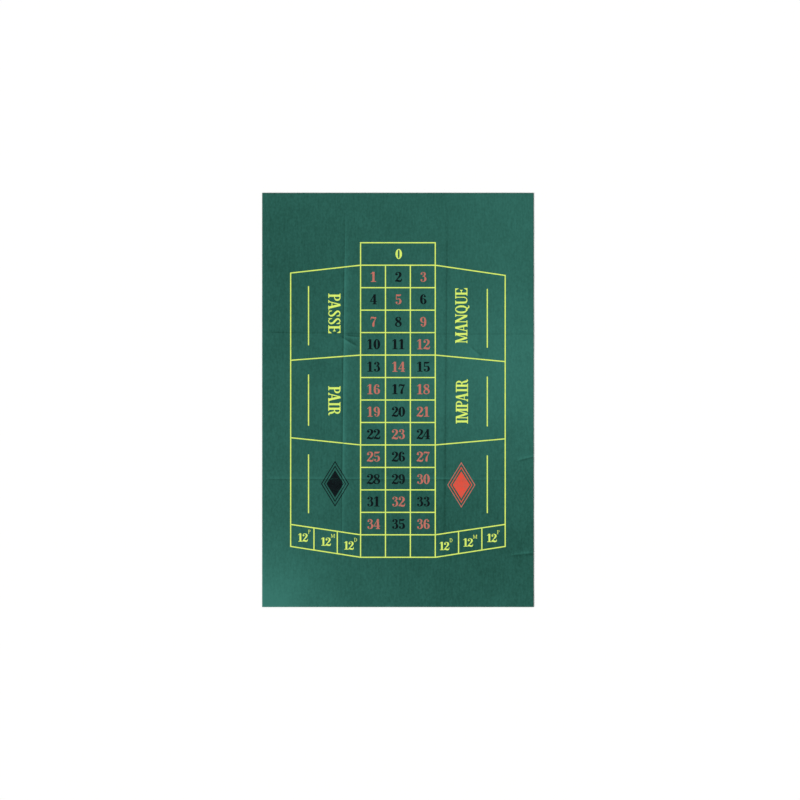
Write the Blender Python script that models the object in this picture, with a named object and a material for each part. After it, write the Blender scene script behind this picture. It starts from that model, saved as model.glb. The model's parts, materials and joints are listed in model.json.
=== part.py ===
"""A felt cloth screen-printed with the French roulette layout, lying flat and open.

Metres, +Z up. The origin is the centre of the cloth, on the surface that it lies on. +X runs across the
cloth and +Y runs along it, towards the zero. The cloth folds along two creases that run its length, so it
is three panels: the side panels turn up and over the centre panel about an axis above each crease. The ink
is a thin film on the face, split where a crease crosses it.
"""

from math import atan2, hypot

import bpy

# The cloth, and the two creases that it folds along
CLOTH_WIDTH = 0.600
CLOTH_LENGTH = 0.915
CLOTH_THICKNESS = 0.001
LEFT_CREASE = -0.1185
RIGHT_CREASE = 0.107
CREASE_GAP = 0.0006
LEFT_AXIS_HEIGHT = 0.0022
RIGHT_AXIS_HEIGHT = 0.0048

# The ink films, which stand clear of the felt by the gap that touching solids keep
INK_GAP = 0.0003
INK_THICKNESS = 0.0002
GUIDE_OVERLAP = 0.001
LINE_WIDTH = 0.0025

# The number grid: a zero box, twelve rows of three numbers and a row of three empty boxes
CELL_WIDTH = 0.055
GRID_LENGTH = 0.695
ROWS = 14
ROW_LENGTH = GRID_LENGTH / ROWS
GRID_SIDE = 1.5 * CELL_WIDTH

# The betting fields beside the grid. Each cross line leaves the grid's side at one of its row lines, and
# comes this much lower (or, where negative, higher) where it meets the field's outer line.
FIELD_SIDE = 0.237
FIELD_ROWS = (1, 5, 9, 13, 14)
FIELD_DROPS = {
    -1: (0.0173, 0.0115, -0.0160, -0.0230, -0.0240),
    1: (0.0226, 0.0144, -0.0135, -0.0230, -0.0240),
}
DOZEN_WIDTH = (FIELD_SIDE - GRID_SIDE) / 3

# The single rules in the fields: their distance from the middle, and the two ends of each
RULE_OFFSET = 0.1975
RULES = {
    "passe": (-1, 0.2515, 0.1209),
    "pair": (-1, 0.0564, -0.0568),
    "black": (-1, -0.1202, -0.2499),
    "manque": (1, 0.2455, 0.1156),
    "impair": (1, 0.0517, -0.0583),
    "red": (1, -0.1224, -0.2499),
}

# The diamonds: a rim and a ring, each an outline, around a solid core
BLACK_CENTRE = (-0.1390, -0.1852)
RED_CENTRE = (0.1401, -0.1876)
RIM_SIZE = (0.0620, 0.1010)
RING_SIZE = (0.0487, 0.0805)
CORE_SIZE = (0.038, 0.060)
OUTLINE_WIDTH = 0.0018

PANELS = {
    "left": (-CLOTH_WIDTH / 2, LEFT_CREASE - CREASE_GAP / 2),
    "centre": (LEFT_CREASE + CREASE_GAP / 2, RIGHT_CREASE - CREASE_GAP / 2),
    "right": (RIGHT_CREASE + CREASE_GAP / 2, CLOTH_WIDTH / 2),
}
INK_BOTTOM = CLOTH_THICKNESS + INK_GAP
INK_TOP = INK_BOTTOM + INK_THICKNESS


def empty_scene():
    """Starts from nothing, with one collection for the cloth and one for the guides that shape it."""
    for item in list(bpy.data.objects):
        bpy.data.objects.remove(item, do_unlink=True)
    collections = {}
    for name in ("roulette_layout_cloth", "guides"):
        collections[name] = bpy.data.collections.new(name)
        bpy.context.scene.collection.children.link(collections[name])
    return collections["roulette_layout_cloth"], collections["guides"]


def material(name, colour, roughness):
    """A plain non-metal of one colour."""
    made = bpy.data.materials.new(name)
    made.use_nodes = True
    shader = made.node_tree.nodes["Principled BSDF"]
    shader.inputs["Base Color"].default_value = (*colour, 1.0)
    shader.inputs["Roughness"].default_value = roughness
    shader.inputs["Metallic"].default_value = 0.0
    return made


def fold_axes():
    """One empty on each fold's axis, for its side panel and the ink on it."""
    axes = {"centre": None}
    places = {"left": (LEFT_CREASE, 0, LEFT_AXIS_HEIGHT), "right": (RIGHT_CREASE, 0, RIGHT_AXIS_HEIGHT)}
    for panel, place in places.items():
        axis = bpy.data.objects.new(f"{panel}_fold_axis", None)
        axis.location = place
        CLOTH.objects.link(axis)
        axes[panel] = axis
    return axes


def into(piece, collection):
    """Moves a new object out of the scene's own collection and into this one."""
    for old in list(piece.users_collection):
        old.objects.unlink(piece)
    collection.objects.link(piece)
    return piece


def sized(piece, name, size, turn=0.0):
    """Names a unit primitive and gives it its size, then its turn about Z."""
    piece.name = name
    piece.scale = size
    bpy.ops.object.transform_apply(location=False, rotation=False, scale=True)
    piece.rotation_euler.z = turn
    return piece


def box(name, low, high):
    """A box between two corners."""
    middle = [(a + b) / 2 for a, b in zip(low, high)]
    bpy.ops.mesh.primitive_cube_add(size=1, location=middle)
    return sized(bpy.context.object, name, [b - a for a, b in zip(low, high)])


def guide(piece):
    """Marks an object as a guide, which shapes others and is no part of the cloth."""
    piece.hide_render = True
    piece.display_type = "WIRE"
    return into(piece, GUIDES)


def guide_bar(name, start, end, overrun=0.0):
    """A printed line from one point to another, taller than the ink, running past both ends by overrun."""
    along = [b - a for a, b in zip(start, end)]
    middle = [(a + b) / 2 for a, b in zip(start, end)]
    height = INK_THICKNESS + 2 * GUIDE_OVERLAP
    bpy.ops.mesh.primitive_cube_add(size=1, location=(*middle, (INK_BOTTOM + INK_TOP) / 2))
    size = (hypot(*along) + 2 * overrun, LINE_WIDTH, height)
    return guide(sized(bpy.context.object, name, size, atan2(along[1], along[0])))


def guide_diamond(name, centre, size, extra=0.0):
    """A diamond taller than the ink, with its corners on the X and Y directions."""
    height = INK_THICKNESS + 2 * GUIDE_OVERLAP + extra
    middle = (*centre, (INK_BOTTOM + INK_TOP) / 2)
    bpy.ops.mesh.primitive_cylinder_add(vertices=4, radius=0.5, depth=1, location=middle)
    return guide(sized(bpy.context.object, name, (*size, height)))


def boolean(piece, operation, other):
    """Joins, cuts or intersects a piece with one object, or with all the objects of a collection."""
    modifier = piece.modifiers.new(operation.lower(), "BOOLEAN")
    modifier.operation = operation
    if isinstance(other, bpy.types.Collection):
        modifier.operand_type = "COLLECTION"
        modifier.collection = other
    else:
        modifier.object = other
    return piece


def on_panel(piece, panel, look):
    """Puts a finished piece on its panel, with its material."""
    into(piece, CLOTH)
    piece.data.materials.append(look)
    if AXES[panel]:
        piece.parent = AXES[panel]
        piece.location -= AXES[panel].location
    return piece


def panel_film(name, panel):
    """A film of ink that covers the whole of a panel, ready to be cut to the print."""
    left, right = PANELS[panel]
    return box(name, (left, -CLOTH_LENGTH / 2, INK_BOTTOM), (right, CLOTH_LENGTH / 2, INK_TOP))


def row_line(number):
    """The height up the cloth of one of the grid's row lines, counted from the top."""
    return GRID_LENGTH / 2 - number * ROW_LENGTH


def cloth_panels():
    """The three panels of the cloth."""
    for panel, (left, right) in PANELS.items():
        low = (left, -CLOTH_LENGTH / 2, 0)
        high = (right, CLOTH_LENGTH / 2, CLOTH_THICKNESS)
        on_panel(box(f"cloth_{panel}_panel", low, high), panel, FELT)


def grid_bars():
    """The lines of the number grid. The zero box at the top has no lines inside it."""
    half = LINE_WIDTH / 2
    for column in range(4):
        x = -GRID_SIDE + column * CELL_WIDTH
        top = row_line(0) if column in (0, 3) else row_line(1)
        yield guide_bar(f"grid_column_{column}", (x, row_line(ROWS)), (x, top), half)
    for row in range(ROWS + 1):
        yield guide_bar(f"grid_row_{row}", (-GRID_SIDE, row_line(row)), (GRID_SIDE, row_line(row)))


def field_bars(side):
    """The lines of the betting fields on one side: cross lines, outer line and the dozen boxes' dividers."""
    half = LINE_WIDTH / 2
    name = "left" if side < 0 else "right"
    inner = [row_line(row) for row in FIELD_ROWS]
    outer = [y - drop for y, drop in zip(inner, FIELD_DROPS[side])]
    for number, (y_in, y_out) in enumerate(zip(inner, outer)):
        yield guide_bar(f"{name}_field_{number}", (side * GRID_SIDE, y_in), (side * FIELD_SIDE, y_out))
    yield guide_bar(f"{name}_field_side", (side * FIELD_SIDE, outer[0]), (side * FIELD_SIDE, outer[-1]), half)
    for divider in (1, 2):
        share = divider / 3
        x = side * (GRID_SIDE + divider * DOZEN_WIDTH)
        ends = [(x, inner[n] + share * (outer[n] - inner[n])) for n in (3, 4)]
        yield guide_bar(f"{name}_dozen_{divider}", *ends)


def yellow_lines():
    """The connected yellow lines as one film on each panel."""
    bars = [*grid_bars(), *field_bars(-1), *field_bars(1)]
    others = bpy.data.collections.new("yellow_bars")
    GUIDES.children.link(others)
    for bar in bars[1:]:
        into(bar, others)
    whole_print = boolean(bars[0], "UNION", others)
    for panel in PANELS:
        film = boolean(panel_film(f"yellow_lines_{panel}", panel), "INTERSECT", whole_print)
        on_panel(film, panel, YELLOW_INK)


def yellow_rules():
    """The single yellow rules that mark where chips go in the betting fields."""
    half = LINE_WIDTH / 2
    for field, (side, top, bottom) in RULES.items():
        x = side * RULE_OFFSET
        rule = box(f"yellow_rule_{field}", (x - half, bottom, INK_BOTTOM), (x + half, top, INK_TOP))
        on_panel(rule, "left" if side < 0 else "right", YELLOW_INK)


def diamond(name, panel, centre, size, look, outline_width=None):
    """A diamond of ink, or its outline, as far as it lies on one panel."""
    shape = guide_diamond(f"{name}_guide", centre, size)
    film = boolean(panel_film(name, panel), "INTERSECT", shape)
    if outline_width:
        slant = hypot(*size) * outline_width
        inside = [side - 2 * slant / other for side, other in zip(size, reversed(size))]
        boolean(film, "DIFFERENCE", guide_diamond(f"{name}_hole", centre, inside, GUIDE_OVERLAP))
    return on_panel(film, panel, look)


def diamonds():
    """The black and the red diamond. The black one's outlines run over the left crease."""
    outlines = (("rim", RIM_SIZE), ("ring", RING_SIZE))
    for outline, size in outlines:
        diamond(f"black_diamond_{outline}", "left", BLACK_CENTRE, size, BLACK_INK, OUTLINE_WIDTH)
        diamond(f"black_diamond_{outline}_tip", "centre", BLACK_CENTRE, size, BLACK_INK, OUTLINE_WIDTH)
        diamond(f"red_diamond_{outline}", "right", RED_CENTRE, size, RED_INK, OUTLINE_WIDTH)
    diamond("black_diamond_core", "left", BLACK_CENTRE, CORE_SIZE, BLACK_INK)
    diamond("red_diamond_core", "right", RED_CENTRE, CORE_SIZE, RED_INK)


CLOTH, GUIDES = empty_scene()
FELT = material("green_felt", (0.028, 0.115, 0.088), 0.95)
YELLOW_INK = material("yellow_ink", (0.60, 0.74, 0.12), 0.7)
BLACK_INK = material("black_ink", (0.006, 0.010, 0.012), 0.7)
RED_INK = material("red_ink", (0.62, 0.08, 0.05), 0.7)
AXES = fold_axes()
cloth_panels()
yellow_lines()
yellow_rules()
diamonds()
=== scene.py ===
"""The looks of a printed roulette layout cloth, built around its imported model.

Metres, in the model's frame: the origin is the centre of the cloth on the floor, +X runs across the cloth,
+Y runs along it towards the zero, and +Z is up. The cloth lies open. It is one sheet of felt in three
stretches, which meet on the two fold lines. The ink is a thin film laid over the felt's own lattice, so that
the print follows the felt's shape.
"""

import json
from collections import namedtuple
from math import cos, pi, radians, sin

import bpy
import numpy as np
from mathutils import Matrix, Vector
from mathutils.geometry import delaunay_2d_cdt


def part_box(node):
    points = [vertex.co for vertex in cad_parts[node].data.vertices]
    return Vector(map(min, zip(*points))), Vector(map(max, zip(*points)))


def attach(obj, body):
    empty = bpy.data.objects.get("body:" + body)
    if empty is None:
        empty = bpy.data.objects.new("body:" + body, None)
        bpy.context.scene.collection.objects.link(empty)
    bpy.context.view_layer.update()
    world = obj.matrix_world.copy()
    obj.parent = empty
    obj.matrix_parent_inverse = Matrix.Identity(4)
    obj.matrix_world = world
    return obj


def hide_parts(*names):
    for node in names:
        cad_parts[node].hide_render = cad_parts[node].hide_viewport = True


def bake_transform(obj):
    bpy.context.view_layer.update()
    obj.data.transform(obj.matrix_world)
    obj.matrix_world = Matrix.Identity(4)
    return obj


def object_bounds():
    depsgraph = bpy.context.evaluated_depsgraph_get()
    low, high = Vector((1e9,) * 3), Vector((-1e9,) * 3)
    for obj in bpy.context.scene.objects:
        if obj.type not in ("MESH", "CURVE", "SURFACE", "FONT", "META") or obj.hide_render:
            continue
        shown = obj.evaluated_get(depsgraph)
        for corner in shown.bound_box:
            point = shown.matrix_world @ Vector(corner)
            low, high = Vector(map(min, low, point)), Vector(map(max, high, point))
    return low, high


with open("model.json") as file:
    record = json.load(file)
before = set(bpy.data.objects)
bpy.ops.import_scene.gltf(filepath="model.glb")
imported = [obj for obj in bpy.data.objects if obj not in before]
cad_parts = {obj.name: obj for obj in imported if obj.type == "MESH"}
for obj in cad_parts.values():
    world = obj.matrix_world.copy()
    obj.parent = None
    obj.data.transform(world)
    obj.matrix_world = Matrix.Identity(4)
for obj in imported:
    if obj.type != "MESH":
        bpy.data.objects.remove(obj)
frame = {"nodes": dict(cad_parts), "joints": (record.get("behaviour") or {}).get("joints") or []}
CAD_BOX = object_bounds()

# The cloth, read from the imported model
LEFT_EDGE, BOTTOM_EDGE = CAD_BOX[0].x, CAD_BOX[0].y
RIGHT_EDGE, TOP_EDGE = CAD_BOX[1].x, CAD_BOX[1].y
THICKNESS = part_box("cloth_centre_panel")[1].z
FOLDS = {joint["name"]: Vector(joint["pos_m"]) for joint in frame["joints"]}
LEFT_FOLD, RIGHT_FOLD = FOLDS["left_fold"].x, FOLDS["right_fold"].x

# How much felt beside each fold line takes up the bend
LEFT_BEND = 0.006
RIGHT_BEND = 0.014

# The lattice that carries the cloth's shape: an even pitch, and finer ones over folds, creases and wrinkles
PITCH = 0.0042
FOLD_PITCH = 0.0006
CREASE_PITCH = 0.0011
WRINKLE_PITCH = 0.0020

# How far from its straight fold line each lengthwise crease wanders, with its banks, and how far to the right
# of the left fold line its wrinkles reach
LEFT_WANDER = 0.012
RIGHT_WANDER = 0.010
LEFT_WRINKLES = 0.038

# The cut edges drop by this much within this width, and faces that meet at more than this angle stay sharp
EDGE_DROP = 0.00025
EDGE_ROUND = 0.0006
SHARP_ANGLE = radians(50)

# The ink stands a little proud of the felt and soaks a little into it
INK_PROUD = 0.00014
INK_SOAK = 0.00012

# Polygons thinner than the first are left out, and points nearer than the second become one
SLIVER_WIDTH = 0.00002
MERGE_DISTANCE = 1e-6

# A corner this near to a node's top is on it, and one this near to a fold line is where the node was cut
LEVEL_GAP = 1e-5
FOLD_CUT = 0.0005


# ---------------------------------------------------------------------------------------------------------
# The shape of the laid cloth
# ---------------------------------------------------------------------------------------------------------

# A crease runs from start to end, swung sideways by bow at its middle. Seen from its start, each bank has
# its own rise, the width that it rises within, and its tone: paler above 0, darker below. The tone is painted
# light and shade: a darker bank is painted shade in the crease, a paler one a painted highlight on the side
# towards the key light, partly also rubbed pile.
# A bank settles again within reach. A crease comes in over the first share of fades of its length and goes
# out over the second. Its valley is rounded within its softness, where one bank also turns into the other.
CREASE_SOFTNESS = 0.0004
WRINKLE_SOFTNESS = 0.0018
Bank = namedtuple("Bank", "rise width tone")
Crease = namedtuple("Crease", "start end bow left right reach fades softness", defaults=[CREASE_SOFTNESS])


def wrinkle(start, end, rise, width, tone):
    """A short crease with painted shade on its left bank and a painted highlight on its right one."""
    banks = Bank(rise, width, -tone), Bank(rise, width, tone)
    return Crease(start, end, 0.001, *banks, 4 * width, (0.3, 0.3), WRINKLE_SOFTNESS)


# The two lengthwise folds, the two crosswise ones, and short wrinkles beside them and by the right edge
# The banks' tones are painted shade and painted highlight, the paler banks partly also rubbed pile.
CREASES = (
    Crease((-0.1246, -0.4575), (-0.1158, 0.4575), -0.0011,
           Bank(0.00045, 0.0020, -0.9), Bank(0.00085, 0.0054, 1.50), 0.030, (0.45, 0.24)),
    Crease((0.1030, -0.4575), (0.1107, 0.4575), -0.0005,
           Bank(0.00055, 0.0024, -0.9), Bank(0.00030, 0.0022, -0.6), 0.024, (0.35, 0.22)),
    Crease((0.300, 0.1450), (-0.300, 0.1490), -0.0020,
           Bank(0.00030, 0.0022, 0.1), Bank(0.00025, 0.0022, -0.8), 0.016, None),
    Crease((0.300, -0.1770), (-0.300, -0.1745), 0.0010,
           Bank(0.00030, 0.0024, -0.7), Bank(0.00040, 0.0034, 0.80), 0.016, (0.35, 0.05)),
    wrinkle((-0.1290, 0.1420), (-0.0860, 0.1160), 0.00055, 0.0034, 1.5),
    wrinkle((-0.1230, 0.1440), (-0.0800, 0.1385), 0.00035, 0.0024, 1.1),
    wrinkle((0.1560, 0.1210), (0.1880, 0.0940), 0.00045, 0.0030, 1.2),
    wrinkle((0.3120, -0.3370), (0.2420, -0.3450), 0.00040, 0.0024, 1.0),
    wrinkle((0.3120, -0.1230), (0.2580, -0.1360), 0.00035, 0.0026, 1.0),
)

# Slow waves left by the packing: direction in degrees, wavelength, height and phase
WAVES = (
    (12, 0.145, 0.00006, 0.4),
    (97, 0.118, 0.00005, 2.1),
    (61, 0.071, 0.00003, 4.4),
    (148, 0.052, 0.00002, 1.3),
)

# Broad patches of painted light and shade, where the felt is painted brighter or darker: centre, radius and
# change of tone
PAINTED_LIGHT_PATCHES = (
    ((-0.330, -0.490), 0.145, 2.10),
    ((0.280, 0.080), 0.190, 1.05),
    ((0.020, 0.040), 0.130, 0.30),
    ((-0.290, 0.300), 0.190, -0.35),
    ((0.190, -0.340), 0.190, -0.45),
    ((0.270, 0.460), 0.150, 0.45),
    ((-0.020, -0.280), 0.110, -0.25),
)


def smooth(t):
    """Goes from 0 to 1 as t does, level at both ends."""
    t = np.clip(t, 0, 1)
    return t * t * (3 - 2 * t)


def across(crease, x, y):
    """How far points lie from a crease, how strong it is there, and the bank that they are on."""
    start, end = np.array(crease.start), np.array(crease.end)
    length = np.hypot(*(end - start))
    ux, uy = (end - start) / length
    along = ((x - start[0]) * ux + (y - start[1]) * uy) / length
    share = np.clip(along, 0, 1)
    offset = (x - start[0]) * uy - (y - start[1]) * ux - crease.bow * 4 * share * (1 - share)
    strength = np.ones_like(offset)
    if crease.fades:
        strength = smooth(along / crease.fades[0]) * smooth((1 - along) / crease.fades[1])
    side = smooth(offset / (2 * crease.softness) + 0.5)
    rise, width, tone = (a + (b - a) * side for a, b in zip(crease.left, crease.right))
    return np.hypot(offset, crease.softness) - crease.softness, strength, rise, width, tone


def lift(x, y):
    """Height of the felt's underside above the floor."""
    height = np.zeros_like(x)
    for direction, wavelength, swell, phase in WAVES:
        turn = radians(direction)
        height += swell * (1 + np.sin((x * cos(turn) + y * sin(turn)) * 2 * pi / wavelength + phase))
    for crease in CREASES:
        away, strength, rise, width, _ = across(crease, x, y)
        height += strength * rise * (np.exp(-away / crease.reach) - np.exp(-away / width))
    return height


def wear(x, y):
    """How cracked the print is, from 0 to 1: most on a crease."""
    cracked = np.zeros_like(x)
    for crease in CREASES:
        away, strength, _, width, tone = across(crease, x, y)
        cracked = np.maximum(cracked, strength * np.abs(tone) * np.exp(-away / width))
    return np.minimum(cracked, 1)


def nap(x, y):
    """How much brighter or darker the felt is painted: painted light and shade over broad patches and along
    the crease banks, the paler banks partly also rubbed pile.
    """
    change = np.zeros_like(x)
    for (centre_x, centre_y), radius, tone in PAINTED_LIGHT_PATCHES:
        change += tone * np.exp(-((x - centre_x) ** 2 + (y - centre_y) ** 2) / radius**2)
    for crease in CREASES:
        away, strength, _, width, tone = across(crease, x, y)
        change += strength * tone * np.exp(-away / width)
    return change


def steps(*stops):
    """Lattice places from stop to stop. Each pair is a place and the widest pitch up to the next one."""
    places = []
    for (start, pitch), (end, _) in zip(stops, stops[1:]):
        places.append(np.linspace(start, end, int(np.ceil((end - start) / pitch)) + 1))
    return np.unique(np.concatenate(places).round(7))


# The finer stretches lie over the folds, the crosswise creases and the wrinkles
LEFT_COLUMNS = steps(
    (LEFT_EDGE, EDGE_ROUND), (LEFT_EDGE + EDGE_ROUND, PITCH), (LEFT_FOLD - LEFT_WANDER, FOLD_PITCH),
    (LEFT_FOLD, 0)
)
CENTRE_COLUMNS = steps(
    (LEFT_FOLD, FOLD_PITCH), (LEFT_FOLD + LEFT_WANDER, WRINKLE_PITCH), (LEFT_FOLD + LEFT_WRINKLES, PITCH),
    (RIGHT_FOLD - RIGHT_WANDER, FOLD_PITCH), (RIGHT_FOLD, 0)
)
RIGHT_COLUMNS = steps(
    (RIGHT_FOLD, FOLD_PITCH), (RIGHT_FOLD + RIGHT_BEND, PITCH), (0.152, WRINKLE_PITCH), (0.192, PITCH),
    (0.240, WRINKLE_PITCH), (RIGHT_EDGE - EDGE_ROUND, EDGE_ROUND), (RIGHT_EDGE, 0)
)
ROWS = steps(
    (BOTTOM_EDGE, EDGE_ROUND), (BOTTOM_EDGE + EDGE_ROUND, PITCH), (-0.350, WRINKLE_PITCH), (-0.330, PITCH),
    (-0.184, CREASE_PITCH), (-0.163, PITCH), (-0.140, WRINKLE_PITCH), (-0.118, PITCH), (0.090, WRINKLE_PITCH),
    (0.137, CREASE_PITCH), (0.158, PITCH), (TOP_EDGE - EDGE_ROUND, EDGE_ROUND), (TOP_EDGE, 0)
)
STRETCHES = {"left": LEFT_COLUMNS, "centre": CENTRE_COLUMNS, "right": RIGHT_COLUMNS}
COLUMNS = np.unique(np.concatenate([LEFT_COLUMNS, CENTRE_COLUMNS, RIGHT_COLUMNS]))


# ---------------------------------------------------------------------------------------------------------
# Meshes
# ---------------------------------------------------------------------------------------------------------


def new_mesh(name, points, faces, flat, look):
    """A mesh object that remembers each point's place on the flat cloth, and the wear and the painted light
    and shade there.
    """
    mesh = bpy.data.meshes.new(name)
    mesh.from_pydata(points.tolist(), [], faces)
    mesh.attributes.new("flat_place", "FLOAT_VECTOR", "POINT").data.foreach_set(
        "vector", np.column_stack([flat, points[:, 2]]).astype(np.float32).ravel()
    )
    # The painted light and shade is kept as an attribute beside the wear.
    for attribute, values in (("wear", wear(*flat.T)), ("nap", nap(*flat.T))):
        mesh.attributes.new(attribute, "FLOAT", "POINT").data.foreach_set("value", values.astype(np.float32))
    mesh.shade_smooth()
    mesh.set_sharp_from_angle(angle=SHARP_ANGLE)
    mesh.materials.append(look)
    piece = bpy.data.objects.new(name, mesh)
    bpy.context.scene.collection.objects.link(piece)
    return piece


def move_with_cloth(piece, left, right):
    """Parents a piece that covers the cloth from left to right to the body of the stretch that it lies on; a
    piece that crosses a fold line or reaches into the felt beside it that takes up the bend only has its
    place set into its mesh.
    """
    if right <= LEFT_FOLD - LEFT_BEND:
        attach(piece, "left")
    elif left < LEFT_FOLD:
        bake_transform(piece)
    elif right <= RIGHT_FOLD:
        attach(piece, "centre")
    elif left < RIGHT_FOLD + RIGHT_BEND:
        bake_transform(piece)
    else:
        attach(piece, "right")


def box_faces(wide, long):
    """Faces of a closed solid whose upper and lower points are each numbered along a wide by long grid."""
    count = wide * long
    index = np.arange(count).reshape(wide, long)
    quads = np.stack([index[:-1, :-1], index[1:, :-1], index[1:, 1:], index[:-1, 1:]], -1).reshape(-1, 4)
    rim = np.concatenate([index[:, 0], index[-1, 1:], index[-2::-1, -1], index[0, -2::-1]])
    walls = np.column_stack([rim[1:], rim[:-1], rim[:-1] + count, rim[1:] + count])
    return quads.tolist() + (quads[:, ::-1] + count).tolist() + walls.tolist()


def cloth_stretch(name, columns, look):
    """One stretch of the felt as a closed solid: printed face, underside and cut edges."""
    x, y = (grid.ravel() for grid in np.meshgrid(columns, ROWS, indexing="ij"))
    under = lift(x, y)
    inset = np.minimum.reduce([x - LEFT_EDGE, RIGHT_EDGE - x, y - BOTTOM_EDGE, TOP_EDGE - y])
    drop = EDGE_DROP * (1 - smooth(inset / EDGE_ROUND))
    face_points = np.column_stack([x, y, under + THICKNESS - drop])
    under_points = np.column_stack([x, y, under + drop])
    points = np.concatenate([face_points, under_points])
    flat = np.tile(np.column_stack([x, y]), (2, 1))
    piece = new_mesh(name, points, box_faces(len(columns), len(ROWS)), flat, look)
    move_with_cloth(piece, columns[0], columns[-1])
    return piece


def along_lattice(a, b):
    """The points from a up to b where the way crosses the lattice's lines."""
    shares = [0.0]
    for axis, lines in ((0, COLUMNS), (1, ROWS)):
        low, high = sorted((a[axis], b[axis]))
        crossed = lines[np.searchsorted(lines, low, "right"):np.searchsorted(lines, high, "left")]
        if len(crossed):
            shares.extend((crossed - a[axis]) / (b[axis] - a[axis]))
    return [a + share * (b - a) for share in sorted(shares)]


def signed_area(polygon):
    """A polygon's area, which is negative if its points run clockwise."""
    x, y = polygon.T
    return np.sum(x * np.roll(y, -1) - np.roll(x, -1) * y) / 2


def is_sliver(polygon):
    """Whether a polygon is thinner than a hair."""
    longest = np.hypot(*(polygon - np.roll(polygon, -1, 0)).T).max()
    return abs(signed_area(polygon)) < longest * SLIVER_WIDTH / 2


def covered(places, polygons):
    """Whether each place lies inside at least one of the polygons."""
    x, y = places.T
    inside_any = np.zeros(len(places), bool)
    for polygon in polygons:
        inside = np.zeros(len(places), bool)
        for (ax, ay), (bx, by) in zip(polygon, np.roll(polygon, -1, 0)):
            if ay != by:
                inside ^= ((ay > y) != (by > y)) & (x < ax + (y - ay) * (bx - ax) / (by - ay))
        inside_any |= inside
    return inside_any


def union_triangles(polygons):
    """Points and triangles of everything that the polygons cover, split along the cloth's lattice."""
    points, outlines = [], []
    for polygon in polygons:
        if is_sliver(polygon):
            continue
        polygon = polygon if signed_area(polygon) > 0 else polygon[::-1]
        ring = [p for a, b in zip(polygon, np.roll(polygon, -1, 0)) for p in along_lattice(a, b)]
        outlines.append(list(range(len(points), len(points) + len(ring))))
        points.extend(ring)
    low, high = np.min(points, 0), np.max(points, 0)
    inner_columns = COLUMNS[(COLUMNS > low[0]) & (COLUMNS < high[0])]
    inner_rows = ROWS[(ROWS > low[1]) & (ROWS < high[1])]
    points.extend(np.array([x, y]) for x in inner_columns for y in inner_rows)
    made = delaunay_2d_cdt([Vector(p) for p in points], [], outlines, 0, MERGE_DISTANCE)
    places, triangles = np.array([tuple(p) for p in made[0]]), np.array(made[2])
    triangles = triangles[covered(places[triangles].mean(1), polygons)]
    used, numbered = np.unique(triangles, return_inverse=True)
    return places[used], numbered.reshape(-1, 3)


def ink_film(name, polygons, slot, replaced=(), look=None):
    """A film of ink that covers these polygons, draped over the felt."""
    flat, triangles = union_triangles(polygons)
    count = len(flat)
    surface = lift(*flat.T) + THICKNESS
    top = np.column_stack([flat, surface + INK_PROUD])
    bottom = np.column_stack([flat, surface - INK_SOAK])
    sides = {(int(a), int(b)) for tri in triangles for a, b in zip(tri, np.roll(tri, -1))}
    walls = [[b, a, a + count, b + count] for a, b in sorted(sides) if (b, a) not in sides]
    faces = triangles.tolist() + (triangles[:, ::-1] + count).tolist() + walls
    piece = new_mesh(name, np.concatenate([top, bottom]), faces, np.tile(flat, (2, 1)), LOOKS[look or slot])
    move_with_cloth(piece, flat[:, 0].min(), flat[:, 0].max())
    if replaced:
        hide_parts(*replaced)


def printed_shape(node):
    """The triangles of a model node's upper face, with its cut at a fold closed up to the fold line."""
    mesh = frame["nodes"][node].data
    top = max(vertex.co.z for vertex in mesh.vertices)
    shape = []
    mesh.calc_loop_triangles()
    for triangle in mesh.loop_triangles:
        corners = [mesh.vertices[n].co for n in triangle.vertices]
        if min(corner.z for corner in corners) > top - LEVEL_GAP:
            polygon = np.array([(corner.x, corner.y) for corner in corners])
            for fold in (LEFT_FOLD, RIGHT_FOLD):
                polygon[np.abs(polygon[:, 0] - fold) < FOLD_CUT, 0] = fold
            shape.append(polygon)
    return shape


# ---------------------------------------------------------------------------------------------------------
# Numerals and letters, drawn on a cap height of 1 with the baseline at 0
# ---------------------------------------------------------------------------------------------------------

# Widths of thick and thin strokes, the size of a serif's bracket, and a serif's reach past its stem
THICK, THIN = 0.160, 0.065
BRACKET = 0.06
SERIF_REACH = 0.085

# How finely curves are cut
SPAN_STEPS = 5
BRACKET_POINTS = 4
BALL_SIDES = 14
BOWL_SIDES = 32


def pen(*nodes):
    """A stroke along a smooth curve through nodes of x, y and width, as triangles."""
    nodes = np.array(nodes, float)
    padded = np.vstack([2 * nodes[0] - nodes[1], nodes, 2 * nodes[-1] - nodes[-2]])
    samples = []
    for p0, p1, p2, p3 in zip(padded, padded[1:], padded[2:], padded[3:]):
        for t in np.arange(SPAN_STEPS) / SPAN_STEPS:
            curve = 2 * p1 + (p2 - p0) * t + (2 * p0 - 5 * p1 + 4 * p2 - p3) * t**2
            samples.append((curve + (3 * p1 - p0 - 3 * p2 + p3) * t**3) / 2)
    samples = np.array(samples + [nodes[-1]])
    return ribbon(samples[:, :2], samples[:, 2])


def ribbon(points, widths):
    """Triangles along a row of points, each with its own width."""
    ways = np.gradient(points, axis=0)
    ways /= np.hypot(*ways.T)[:, None]
    normals = np.column_stack([-ways[:, 1], ways[:, 0]]) * widths[:, None] / 2
    left, right = points + normals, points - normals
    triangles = []
    for n in range(len(points) - 1):
        triangles.append(np.array([left[n], right[n], right[n + 1]]))
        triangles.append(np.array([left[n], right[n + 1], left[n + 1]]))
    return triangles


def line(x0, y0, x1, y1, width):
    """A straight stroke."""
    return ribbon(np.array([(x0, y0), (x1, y1)], float), np.array([width, width]))


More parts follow.
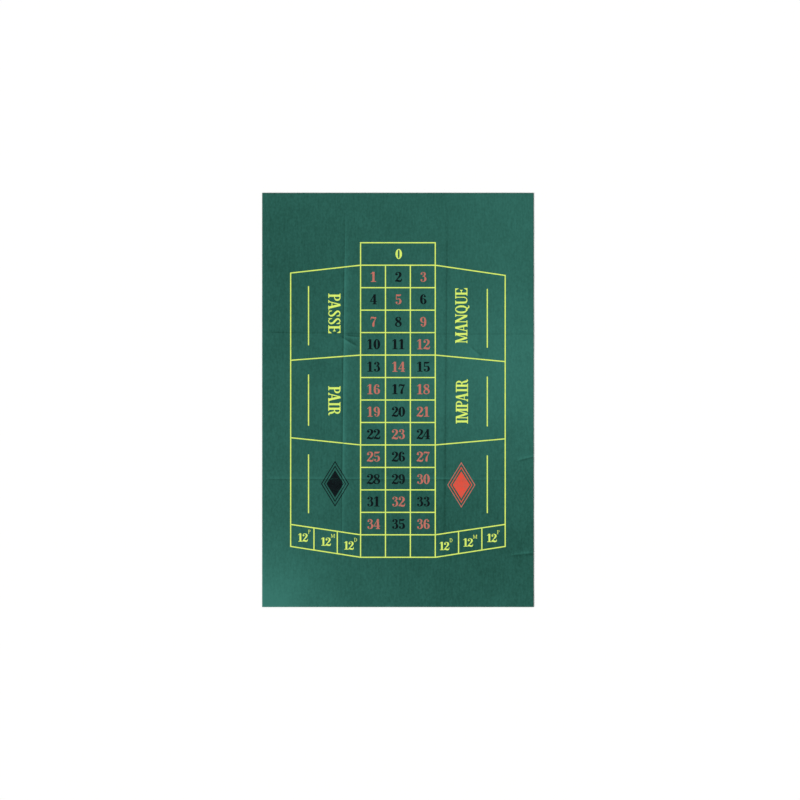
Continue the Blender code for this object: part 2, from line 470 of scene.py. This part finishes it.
def ball(x, y, radius):
    """A round terminal."""
    turns = np.arange(BALL_SIDES) * 2 * pi / BALL_SIDES
    return [np.column_stack([x + radius * np.cos(turns), y + radius * np.sin(turns)])]


def slab(x0, y0, x1, y1):
    """An upright rectangle."""
    return [np.array([(x0, y0), (x1, y0), (x1, y1), (x0, y1)])]


def bowl(x, y, wide, high, side=THICK, cap=THIN):
    """A closed round stroke, thick at its sides and thin at top and bottom."""
    turns = np.linspace(0, 2 * pi, BOWL_SIDES + 1)
    width = cap + (side - cap) * np.cos(turns) ** 2
    rx, ry = wide / 2 - side / 2, high / 2 - cap / 2
    points = np.column_stack([x + rx * np.cos(turns), y + ry * np.sin(turns)])
    shape = ribbon(points[:-1], width[:-1])
    return shape + ribbon(points[[-2, 0]], width[[-2, 0]])


def wedge(*corners):
    """A filled triangle."""
    return [np.array(corners)]


def serif(x, y, stem_width, reach, up=1):
    """A thin slab across a stem's end, bracketed into it. up is -1 at the top of a stem."""
    turns = np.linspace(0, pi / 2, BRACKET_POINTS)
    sides = []
    for side in (-1, 1):
        curve_x = x + side * (stem_width / 2 + BRACKET * (1 - np.sin(turns)))
        curve_y = y + up * (THIN + BRACKET * (1 - np.cos(turns)))
        sides.append(np.column_stack([curve_x, curve_y]))
    left, right = sides
    inner_y = y + up * THIN
    outer_corners = (x - reach, y), (x + reach, y), (x + reach, inner_y)
    return [np.array([*outer_corners, *right, *left[::-1], (x - reach, inner_y)])]


def stem(x, width=THICK, low=0.0, high=1.0, feet=(1, 1), reach=None):
    """An upright stroke with a serif at its foot and head, where feet says so."""
    reach = reach or width / 2 + SERIF_REACH
    shape = slab(x - width / 2, low, x + width / 2, high)
    if feet[0]:
        shape += serif(x, low, width, reach)
    if feet[1]:
        shape += serif(x, high, width, reach, -1)
    return shape


def turned(shape, x, y):
    """A shape turned half a turn about a point."""
    return [np.array([2 * x, 2 * y]) - polygon for polygon in shape]


def six():
    """The 6, which also makes the 9."""
    return (
        pen((0.44, 0.83, 0.05), (0.38, 0.95, 0.05), (0.28, 0.97, 0.06), (0.16, 0.83, 0.15),
            (0.115, 0.50, 0.185), (0.16, 0.17, 0.15), (0.29, 0.03, 0.05), (0.43, 0.13, 0.14),
            (0.475, 0.30, 0.18), (0.42, 0.48, 0.13), (0.30, 0.565, 0.05), (0.20, 0.52, 0.05))
        + ball(0.425, 0.80, 0.085)
    )


def lower_bowl(top_x, top_y):
    """The round lower part of a 3 or a 5, from where it starts down to its ball."""
    return (
        pen((top_x, top_y, 0.05), (0.38, 0.55, 0.09), (0.475, 0.31, 0.18), (0.41, 0.11, 0.14),
            (0.27, 0.03, 0.05), (0.14, 0.07, 0.05), (0.09, 0.16, 0.05))
        + ball(0.135, 0.19, 0.085)
    )


DIGITS = {
    "0": bowl(0.29, 0.5, 0.56, 1.02, 0.20),
    "1": stem(0.29, 0.19, feet=(1, 0), reach=0.22)
         + pen((0.05, 0.80, 0.035), (0.15, 0.87, 0.07), (0.29, 0.985, 0.12)),
    "2": pen((0.06, 0.74, 0.05), (0.10, 0.89, 0.06), (0.26, 0.97, 0.06), (0.42, 0.88, 0.15),
             (0.46, 0.72, 0.19), (0.38, 0.52, 0.15), (0.20, 0.30, 0.08), (0.04, 0.06, 0.06))
         + ball(0.125, 0.750, 0.10)
         + pen((0.03, 0.06, 0.12), (0.16, 0.13, 0.17), (0.32, 0.08, 0.19), (0.46, 0.08, 0.16),
               (0.55, 0.20, 0.06), (0.56, 0.32, 0.04)),
    "3": pen((0.10, 0.78, 0.05), (0.14, 0.92, 0.05), (0.27, 0.97, 0.05), (0.40, 0.89, 0.13),
             (0.43, 0.76, 0.16), (0.36, 0.61, 0.09), (0.22, 0.545, 0.045))
         + ball(0.145, 0.80, 0.085) + lower_bowl(0.22, 0.545),
    "4": stem(0.385, 0.18, feet=(1, 0), reach=0.18) + line(0.37, 0.985, 0.035, 0.30, 0.055)
         + slab(0.01, 0.255, 0.57, 0.325),
    "5": slab(0.085, 0.50, 0.140, 0.98) + lower_bowl(0.11, 0.50)
         + pen((0.09, 0.93, 0.14), (0.26, 0.90, 0.17), (0.42, 0.92, 0.15), (0.53, 0.99, 0.03)),
    "6": six(),
    "7": pen((0.06, 0.70, 0.03), (0.07, 0.86, 0.05), (0.10, 0.99, 0.05))
         + pen((0.08, 0.92, 0.14), (0.22, 0.925, 0.15), (0.38, 0.89, 0.15), (0.53, 0.95, 0.08))
         + pen((0.53, 0.96, 0.06), (0.41, 0.68, 0.07), (0.31, 0.44, 0.13), (0.28, 0.20, 0.19),
               (0.28, 0.08, 0.17))
         + ball(0.28, 0.085, 0.085),
    "8": pen((0.29, 0.54, 0.19), (0.43, 0.42, 0.18), (0.49, 0.25, 0.15), (0.43, 0.09, 0.08),
             (0.28, 0.03, 0.06), (0.12, 0.09, 0.10), (0.07, 0.25, 0.13), (0.15, 0.42, 0.09),
             (0.29, 0.53, 0.07), (0.42, 0.65, 0.08), (0.46, 0.79, 0.11), (0.41, 0.92, 0.08),
             (0.29, 0.97, 0.06), (0.16, 0.91, 0.10), (0.11, 0.79, 0.15), (0.16, 0.65, 0.18),
             (0.29, 0.54, 0.19)),
    "9": turned(six(), 0.29, 0.5),
}

# How far apart digits stand, as a share of their height, and how much wider they are printed than drawn above
DIGIT_ADVANCE = 0.675
DIGIT_WIDTH = 1.16


def p_shape():
    """The P, which also starts the R."""
    return (
        stem(0.17)
        + pen((0.17, 0.967, 0.066), (0.34, 0.960, 0.07), (0.455, 0.88, 0.11), (0.490, 0.74, 0.14),
              (0.450, 0.60, 0.11), (0.34, 0.52, 0.07), (0.17, 0.513, 0.066))
    )


# Each letter's advance and its shape
LETTERS = {
    "A": (0.73, line(0.34, 0.98, 0.115, 0.02, 0.075) + line(0.365, 1.0, 0.575, 0.0, 0.165)
          + slab(0.18, 0.27, 0.50, 0.335) + serif(0.115, 0.0, 0.06, 0.105) + serif(0.575, 0.0, 0.15, 0.145)),
    "E": (0.66, stem(0.17) + slab(0.17, 0.935, 0.58, 1.0) + slab(0.17, 0.0, 0.60, 0.065)
          + slab(0.17, 0.467, 0.44, 0.533) + wedge((0.44, 0.935), (0.59, 0.70), (0.59, 1.0))
          + wedge((0.44, 0.065), (0.61, 0.0), (0.61, 0.31))
          + wedge((0.33, 0.50), (0.47, 0.365), (0.47, 0.635))),
    "I": (0.36, stem(0.18)),
    "M": (0.87, stem(0.11, 0.07, reach=0.105) + stem(0.735) + line(0.145, 0.98, 0.44, 0.03, 0.15)
          + line(0.43, 0.05, 0.70, 0.98, 0.07)),
    "N": (0.75, stem(0.12, 0.075, reach=0.115) + stem(0.63, 0.075, feet=(0, 1), reach=0.115)
          + line(0.145, 0.98, 0.60, 0.04, 0.165)),
    "P": (0.60, p_shape()),
    "Q": (0.73, bowl(0.365, 0.5, 0.65, 1.02, 0.155, 0.07)
          + pen((0.27, 0.05, 0.06), (0.35, 0.10, 0.08), (0.44, 0.02, 0.10), (0.52, -0.10, 0.10),
                (0.61, -0.13, 0.07), (0.67, -0.05, 0.05))),
    "R": (0.70, p_shape()
          + pen((0.32, 0.515, 0.07), (0.43, 0.43, 0.12), (0.48, 0.26, 0.15), (0.52, 0.10, 0.13),
                (0.60, 0.035, 0.07), (0.67, 0.09, 0.05))),
    "S": (0.57, pen((0.455, 0.75, 0.05), (0.40, 0.90, 0.07), (0.28, 0.965, 0.07), (0.15, 0.89, 0.10),
                    (0.115, 0.75, 0.125), (0.22, 0.59, 0.145), (0.385, 0.42, 0.145), (0.445, 0.25, 0.125),
                    (0.40, 0.10, 0.09), (0.27, 0.035, 0.07), (0.145, 0.09, 0.07), (0.09, 0.24, 0.05))
          + slab(0.435, 0.68, 0.490, 0.98) + slab(0.055, 0.02, 0.110, 0.31)),
    "U": (0.73, stem(0.18, low=0.25, feet=(0, 1)) + stem(0.61, 0.075, low=0.25, feet=(0, 1), reach=0.11)
          + pen((0.18, 0.30, THICK), (0.21, 0.13, 0.14), (0.37, 0.035, 0.075), (0.54, 0.11, 0.07),
                (0.61, 0.30, 0.075))),
}

# How a pair of letters changes the advance of its first one
KERNED = {"PA": -0.11}

# The small letters of the dozens' marks
SMALL_LETTERS = {
    "P": stem(0.20, 0.12)
         + pen((0.20, 0.965, 0.07), (0.46, 0.95, 0.08), (0.61, 0.74, 0.12), (0.46, 0.53, 0.08),
               (0.20, 0.51, 0.07)),
    "M": stem(0.12, 0.08) + stem(0.90, 0.12)
         + line(0.14, 0.98, 0.52, 0.08, 0.13) + line(0.52, 0.08, 0.88, 0.98, 0.08),
    "D": stem(0.20, 0.12)
         + pen((0.20, 0.965, 0.07), (0.52, 0.92, 0.09), (0.74, 0.50, 0.14), (0.52, 0.08, 0.09),
               (0.20, 0.035, 0.07)),
}


def placed(shape, x, y, height, width_scale=1.0, turn=0.0):
    """A unit shape at its real size, with its baseline's start at x and y."""
    scaled = [polygon * (height * width_scale, height) for polygon in shape]
    rotation = np.array([(cos(turn), sin(turn)), (-sin(turn), cos(turn))])
    return [polygon @ rotation + (x, y) for polygon in scaled]


def spread_sideways(shape, spread):
    """A shape made bolder, as ink that has run a little to the left and the right."""
    return [polygon + (shift, 0) for shift in (-spread, spread) for polygon in shape]


def number_shape(number, x, y, height, advance=DIGIT_ADVANCE):
    """A numeral centred on x and y."""
    text = str(number)
    start = x - height * advance * len(text) / 2
    shape = []
    for place, digit in enumerate(text):
        shape += placed(DIGITS[digit], start + place * height * advance, y - height / 2, height, DIGIT_WIDTH)
    return shape


def word_shape(word, baseline_x, start_y, end_y, height):
    """A word along the cloth from start_y to end_y, its letters standing on the line at baseline_x."""
    run = end_y - start_y
    advances = [LETTERS[a][0] + KERNED.get(a + b, 0) for a, b in zip(word, word[1:] + " ")]
    width_scale = abs(run) / (sum(advances) * height)
    way = 1 if run > 0 else -1
    shape, y = [], start_y
    for letter, advance in zip(word, advances):
        shape += placed(LETTERS[letter][1], baseline_x, y, height, width_scale, way * pi / 2)
        y += way * advance * height * width_scale
    return shape


# ---------------------------------------------------------------------------------------------------------
# What is printed
# ---------------------------------------------------------------------------------------------------------

# The number grid: the zero's row, twelve rows of three numbers, and a row of empty boxes
GRID_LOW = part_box("yellow_lines_centre")[0].y
GRID_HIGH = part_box("yellow_lines_centre")[1].y
LINE_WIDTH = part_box("yellow_rule_red")[1].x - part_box("yellow_rule_red")[0].x
GRID_ROWS = 14
ROW_LENGTH = (GRID_HIGH - GRID_LOW - LINE_WIDTH) / GRID_ROWS
CELL_WIDTH = 0.055
RED_NUMBERS = {1, 3, 5, 7, 9, 12, 14, 16, 18, 19, 21, 23, 25, 27, 30, 32, 34, 36}

# The numerals stand a little off the middles of their boxes, and the black ones are printed more heavily
ZERO_X = 0.0018
NUMERAL_HEIGHT = 0.0220
NUMERAL_SHIFT = (0.0010, -0.0010)
BLACK_SPREAD = 0.00028

# Each word's baseline across the cloth, and where it starts and ends along it
WORD_HEIGHT = 0.0268
WORDS = {
    "passe": (-0.1538, 0.2355, 0.1460),
    "pair": (-0.1538, 0.0308, -0.0345),
    "manque": (0.1535, 0.1256, 0.2485),
    "impair": (0.1548, -0.0525, 0.0466),
}

# The mark of each dozen: the centre of its 12, and the small letter raised beside it, which is P for the
# first dozen, M for the middle one and D for the last
DOZEN_HEIGHT = 0.0181
DOZEN_ADVANCE = 0.57
SUFFIX_HEIGHT = 0.0084
SUFFIX_OFFSET = (0.0124, 0.0085)
DOZENS = {
    "left_p": (-0.2112, -0.3038, "P"),
    "left_m": (-0.1604, -0.3130, "M"),
    "left_d": (-0.1096, -0.3215, "D"),
    "right_d": (0.1014, -0.3226, "D"),
    "right_m": (0.1538, -0.3148, "M"),
    "right_p": (0.2063, -0.3047, "P"),
}


def print_lines():
    """The yellow lines and rules, in the shapes that the model gives them."""
    for node in sorted(frame["nodes"]):
        if node.startswith("yellow_"):
            ink_film(f"{node}_ink", printed_shape(node), "yellow_ink", [node])


def print_diamonds():
    """The two diamonds. The black one's outlines run on over the left fold, and the red one's rim is pale."""
    for part in ("rim", "ring", "core"):
        for colour in ("black", "red"):
            node = f"{colour}_diamond_{part}"
            nodes = [name for name in (node, f"{node}_tip") if name in frame["nodes"]]
            shape = [triangle for name in nodes for triangle in printed_shape(name)]
            look = "thin_red_ink" if node == "red_diamond_rim" else None
            ink_film(f"{node}_ink", shape, f"{colour}_ink", nodes, look)


def print_numbers():
    """The zero, and 1 to 36 in rows of three from the top."""
    top = GRID_HIGH - LINE_WIDTH / 2
    zero = number_shape(0, ZERO_X, top - ROW_LENGTH / 2, NUMERAL_HEIGHT)
    ink_film("numeral_0", zero, "yellow_ink")
    for number in range(1, 37):
        row, column = divmod(number - 1, 3)
        x = (column - 1) * CELL_WIDTH + NUMERAL_SHIFT[0]
        y = top - (row + 1.5) * ROW_LENGTH + NUMERAL_SHIFT[1]
        shape = number_shape(number, x, y, NUMERAL_HEIGHT)
        if number in RED_NUMBERS:
            ink_film(f"numeral_{number}", shape, "red_ink", look="thin_red_ink")
        else:
            ink_film(f"numeral_{number}", spread_sideways(shape, BLACK_SPREAD), "black_ink")


def print_words():
    """The names of the even-money bets, and the marks of the dozens."""
    for word, (baseline_x, start_y, end_y) in WORDS.items():
        shape = word_shape(word.upper(), baseline_x, start_y, end_y, WORD_HEIGHT)
        ink_film(f"word_{word}", shape, "yellow_ink")
    for name, (x, y, suffix) in DOZENS.items():
        shape = number_shape(12, x, y, DOZEN_HEIGHT, DOZEN_ADVANCE)
        corner = x + SUFFIX_OFFSET[0], y + SUFFIX_OFFSET[1]
        shape += placed(SMALL_LETTERS[suffix], *corner, SUFFIX_HEIGHT)
        ink_film(f"dozen_{name}", shape, "yellow_ink")


# ---------------------------------------------------------------------------------------------------------
# Materials
# ---------------------------------------------------------------------------------------------------------


class Nodes:
    """Short names for the shader nodes that the materials share."""

    def __init__(self, name):
        """A new material whose patterns keep to their places on the flat cloth."""
        self.material = bpy.data.materials.new(name)
        self.material.use_nodes = True
        self.tree = self.material.node_tree
        self.shader = self.tree.nodes["Principled BSDF"]
        self.place = self.attribute("flat_place", "Vector")

    def new(self, kind, **settings):
        """A new node with these settings."""
        node = self.tree.nodes.new(kind)
        for setting, value in settings.items():
            setattr(node, setting, value)
        return node

    def link(self, source, target):
        """Feeds one socket into another."""
        self.tree.links.new(source, target)

    def attribute(self, name, output="Fac"):
        """What one of the mesh's attributes holds."""
        return self.new("ShaderNodeAttribute", attribute_name=name).outputs[output]

    def noise(self, size, stretch=(1, 1, 1), detail=3.0, roughness=0.55):
        """Noise whose grains are about size metres across, drawn out by stretch."""
        mapping = self.new("ShaderNodeMapping")
        mapping.inputs["Scale"].default_value = [1 / (size * s) for s in stretch]
        self.link(self.place, mapping.inputs["Vector"])
        noise = self.new("ShaderNodeTexNoise")
        noise.inputs["Scale"].default_value = 1.0
        noise.inputs["Detail"].default_value = detail
        noise.inputs["Roughness"].default_value = roughness
        self.link(mapping.outputs["Vector"], noise.inputs["Vector"])
        return noise.outputs["Fac"]

    def ranged(self, value, low, high, to_low, to_high, smooth_step=False):
        """A value taken from one range to another, and held at the new range's ends."""
        node = self.new("ShaderNodeMapRange", interpolation_type="SMOOTHSTEP" if smooth_step else "LINEAR")
        limits = {"From Min": low, "From Max": high, "To Min": to_low, "To Max": to_high}
        for socket, number in limits.items():
            node.inputs[socket].default_value = number
        self.link(value, node.inputs["Value"])
        return node.outputs["Result"]

    def maths(self, operation, a, b):
        """Arithmetic on two values, each a socket or a number."""
        node = self.new("ShaderNodeMath", operation=operation)
        for socket, value in zip(node.inputs, (a, b)):
            if isinstance(value, (int, float)):
                socket.default_value = value
            else:
                self.link(value, socket)
        return node.outputs["Value"]

    def mix(self, share, a, b):
        """One colour over another, each a socket or three numbers."""
        node = self.new("ShaderNodeMix", data_type="RGBA")
        factor, first, second = node.inputs[0], node.inputs[6], node.inputs[7]
        for socket, value in ((factor, share), (first, a), (second, b)):
            if isinstance(value, tuple):
                socket.default_value = (*value, 1)
            elif isinstance(value, (int, float)):
                socket.default_value = value
            else:
                self.link(value, socket)
        return node.outputs[2]

    def bump(self, height, strength, distance):
        """Fine relief from a height."""
        node = self.new("ShaderNodeBump")
        node.inputs["Strength"].default_value = strength
        node.inputs["Distance"].default_value = distance
        self.link(height, node.inputs["Height"])
        self.link(node.outputs["Normal"], self.shader.inputs["Normal"])


FLOOR_COLOUR = (0.9225, 0.9225, 0.9175, 1)
FELT_DARKEST = (0.0012, 0.0350, 0.0225)
FELT_LIGHTEST = (0.0310, 0.1580, 0.1260)

# The felt's noises add up to the first range, which is taken to 0 and 1. The painted light and shade is added
# to that, and the second range then holds the tones of the two end colours.
PATTERN_RANGE = (1.08, 1.64)
TONE_RANGE = (-1.1, 2.1)

# How much wear adds to the specks in the ink, over what rise of their noise they open, how much felt they
# show at most, and the ink's roughness from where it covers to where it is barest
WEAR_SHARE = 0.12
SPECK_RAMP = 0.12
BAREST = 0.80
INK_ROUGHNESS = (0.62, 0.92)


def felt_colour(nodes):
    """The felt's colour with its painted light and shade, and the noises of its fibres and of its streaks
    along the cloth.
    """
    patches = nodes.noise(0.070, detail=2.0)
    streaks = nodes.noise(0.0034, (1, 6, 1))
    clumps = nodes.noise(0.0042, (1, 1.4, 1), detail=2.0)
    fibres = nodes.noise(0.00055, (1, 1.8, 1), detail=4.0, roughness=0.65)
    tone = nodes.maths("MULTIPLY", patches, 0.45)
    for part, share in ((streaks, 0.62), (clumps, 0.85), (fibres, 0.80)):
        tone = nodes.maths("ADD", tone, nodes.maths("MULTIPLY", part, share))
    # Painted light and shade: brighter and darker patches and crease banks raise or lower the felt's tone.
    tone = nodes.maths("ADD", nodes.ranged(tone, *PATTERN_RANGE, 0.0, 1.0), nodes.attribute("nap"))
    colour = nodes.mix(nodes.ranged(tone, *TONE_RANGE, 0.0, 1.0), FELT_DARKEST, FELT_LIGHTEST)
    return colour, fibres, streaks


def felt():
    """Dense green felt with a short pile."""
    nodes = Nodes("green_felt_cloth")
    colour, fibres, streaks = felt_colour(nodes)
    nodes.link(colour, nodes.shader.inputs["Base Color"])
    nodes.shader.inputs["Roughness"].default_value = 0.95
    nodes.shader.inputs["Specular IOR Level"].default_value = 0.15
    nodes.shader.inputs["Sheen Weight"].default_value = 0.08
    nodes.shader.inputs["Sheen Roughness"].default_value = 0.55
    nodes.shader.inputs["Sheen Tint"].default_value = (0.55, 1.0, 0.85, 1)
    relief = nodes.maths("ADD", fibres, nodes.maths("MULTIPLY", streaks, 0.6))
    nodes.bump(relief, strength=0.55, distance=0.00025)
    return nodes.material


def ink(name, full, thin, cover, shine):
    """Screen-printed ink, thinner in patches, with felt showing through it in specks and at creases."""
    nodes = Nodes(name)
    # The felt that shows through the ink carries the felt's painted light and shade.
    felt_under, fibres, _ = felt_colour(nodes)
    colour = nodes.mix(nodes.ranged(nodes.noise(0.012), 0.35, 0.7, 0.0, 1.0), full, thin)
    specks = nodes.noise(0.00085, (1, 1.4, 1), detail=2.0)
    bare = nodes.maths("ADD", specks, nodes.maths("MULTIPLY", nodes.attribute("wear"), WEAR_SHARE))
    bare = nodes.ranged(bare, cover, cover + SPECK_RAMP, 0.0, BAREST, smooth_step=True)
    nodes.link(nodes.mix(bare, colour, felt_under), nodes.shader.inputs["Base Color"])
    nodes.link(nodes.ranged(bare, 0.0, BAREST, *INK_ROUGHNESS), nodes.shader.inputs["Roughness"])
    nodes.shader.inputs["Specular IOR Level"].default_value = shine
    relief = nodes.maths("ADD", fibres, nodes.maths("MULTIPLY", specks, 0.5))
    nodes.bump(relief, strength=0.35, distance=0.00018)
    return nodes.material


def floor_look():
    """A plain pale floor."""
    material = bpy.data.materials.new("pale_floor")
    material.use_nodes = True
    shader = material.node_tree.nodes["Principled BSDF"]
    shader.inputs["Base Color"].default_value = FLOOR_COLOUR
    shader.inputs["Roughness"].default_value = 0.9
    shader.inputs["Specular IOR Level"].default_value = 0.1
    return material


# ---------------------------------------------------------------------------------------------------------
# Camera, floor and light
# ---------------------------------------------------------------------------------------------------------

# The camera sees this width of floor, about a point just right of the cloth's middle
VIEW_WIDTH = 1.768
VIEW_CENTRE_X = 0.0046
CAMERA_HEIGHT = 6.0
SENSOR_WIDTH = 36.0

FLOOR_SIZE = 40
FLOOR_HEIGHT = -0.0002

# The key light shines from its place towards the middle of the cloth, and its spread softens the shadows
KEY_PLACE = (-5.3, -2.8, 3.4)
KEY_STRENGTH = 3.5
KEY_SPREAD = radians(16)
WORLD_STRENGTH = 0.54


def set_camera():
    """A long lens straight above the cloth."""
    data = bpy.data.cameras.new("camera")
    data.sensor_width = SENSOR_WIDTH
    data.lens = SENSOR_WIDTH * CAMERA_HEIGHT / VIEW_WIDTH
    camera = bpy.data.objects.new("camera", data)
    camera.location = (VIEW_CENTRE_X, 0, CAMERA_HEIGHT)
    bpy.context.scene.collection.objects.link(camera)
    bpy.context.scene.camera = camera


def set_key_light():
    """One large soft light, low on the left, that picks out the creases."""
    data = bpy.data.lights.new("key", "SUN")
    data.energy = KEY_STRENGTH
    data.angle = KEY_SPREAD
    light = bpy.data.objects.new("key", data)
    light.location = KEY_PLACE
    light.rotation_euler = (-light.location).to_track_quat("-Z", "Y").to_euler()
    bpy.context.scene.collection.objects.link(light)


def set_stage():
    """The floor, one soft key light from the lower left, and even light from all round."""
    bpy.ops.mesh.primitive_plane_add(size=FLOOR_SIZE, location=(0, 0, FLOOR_HEIGHT))
    floor = bpy.context.object
    floor.name = "floor"
    floor.data.materials.append(floor_look())
    set_key_light()
    world = bpy.data.worlds.new("studio")
    world.use_nodes = True
    background = world.node_tree.nodes["Background"]
    background.inputs["Color"].default_value = (1, 1, 1, 1)
    background.inputs["Strength"].default_value = WORLD_STRENGTH
    bpy.context.scene.world = world
    bpy.context.scene.view_settings.view_transform = "Standard"


set_camera()
set_stage()

# Each ink has a colour where it is full, one where it is thin, how well it covers the felt, and its shine
LOOKS = {
    "green_felt": felt(),
    "yellow_ink": ink("yellow_print", (0.71, 0.87, 0.140), (0.57, 0.77, 0.140), 0.62, 0.25),
    "red_ink": ink("red_print", (0.74, 0.060, 0.030), (0.56, 0.085, 0.055), 0.60, 0.25),
    "thin_red_ink": ink("thin_red_print", (0.54, 0.145, 0.110), (0.43, 0.145, 0.110), 0.57, 0.25),
    "black_ink": ink("black_print", (0.0015, 0.0030, 0.0045), (0.0035, 0.0075, 0.0090), 0.62, 0.05),
}
for stretch, stretch_columns in STRETCHES.items():
    panel = cloth_stretch(f"cloth_{stretch}", stretch_columns, LOOKS["green_felt"])
    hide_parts(f"cloth_{stretch}_panel")
print_lines()
print_diamonds()
print_numbers()
print_words()
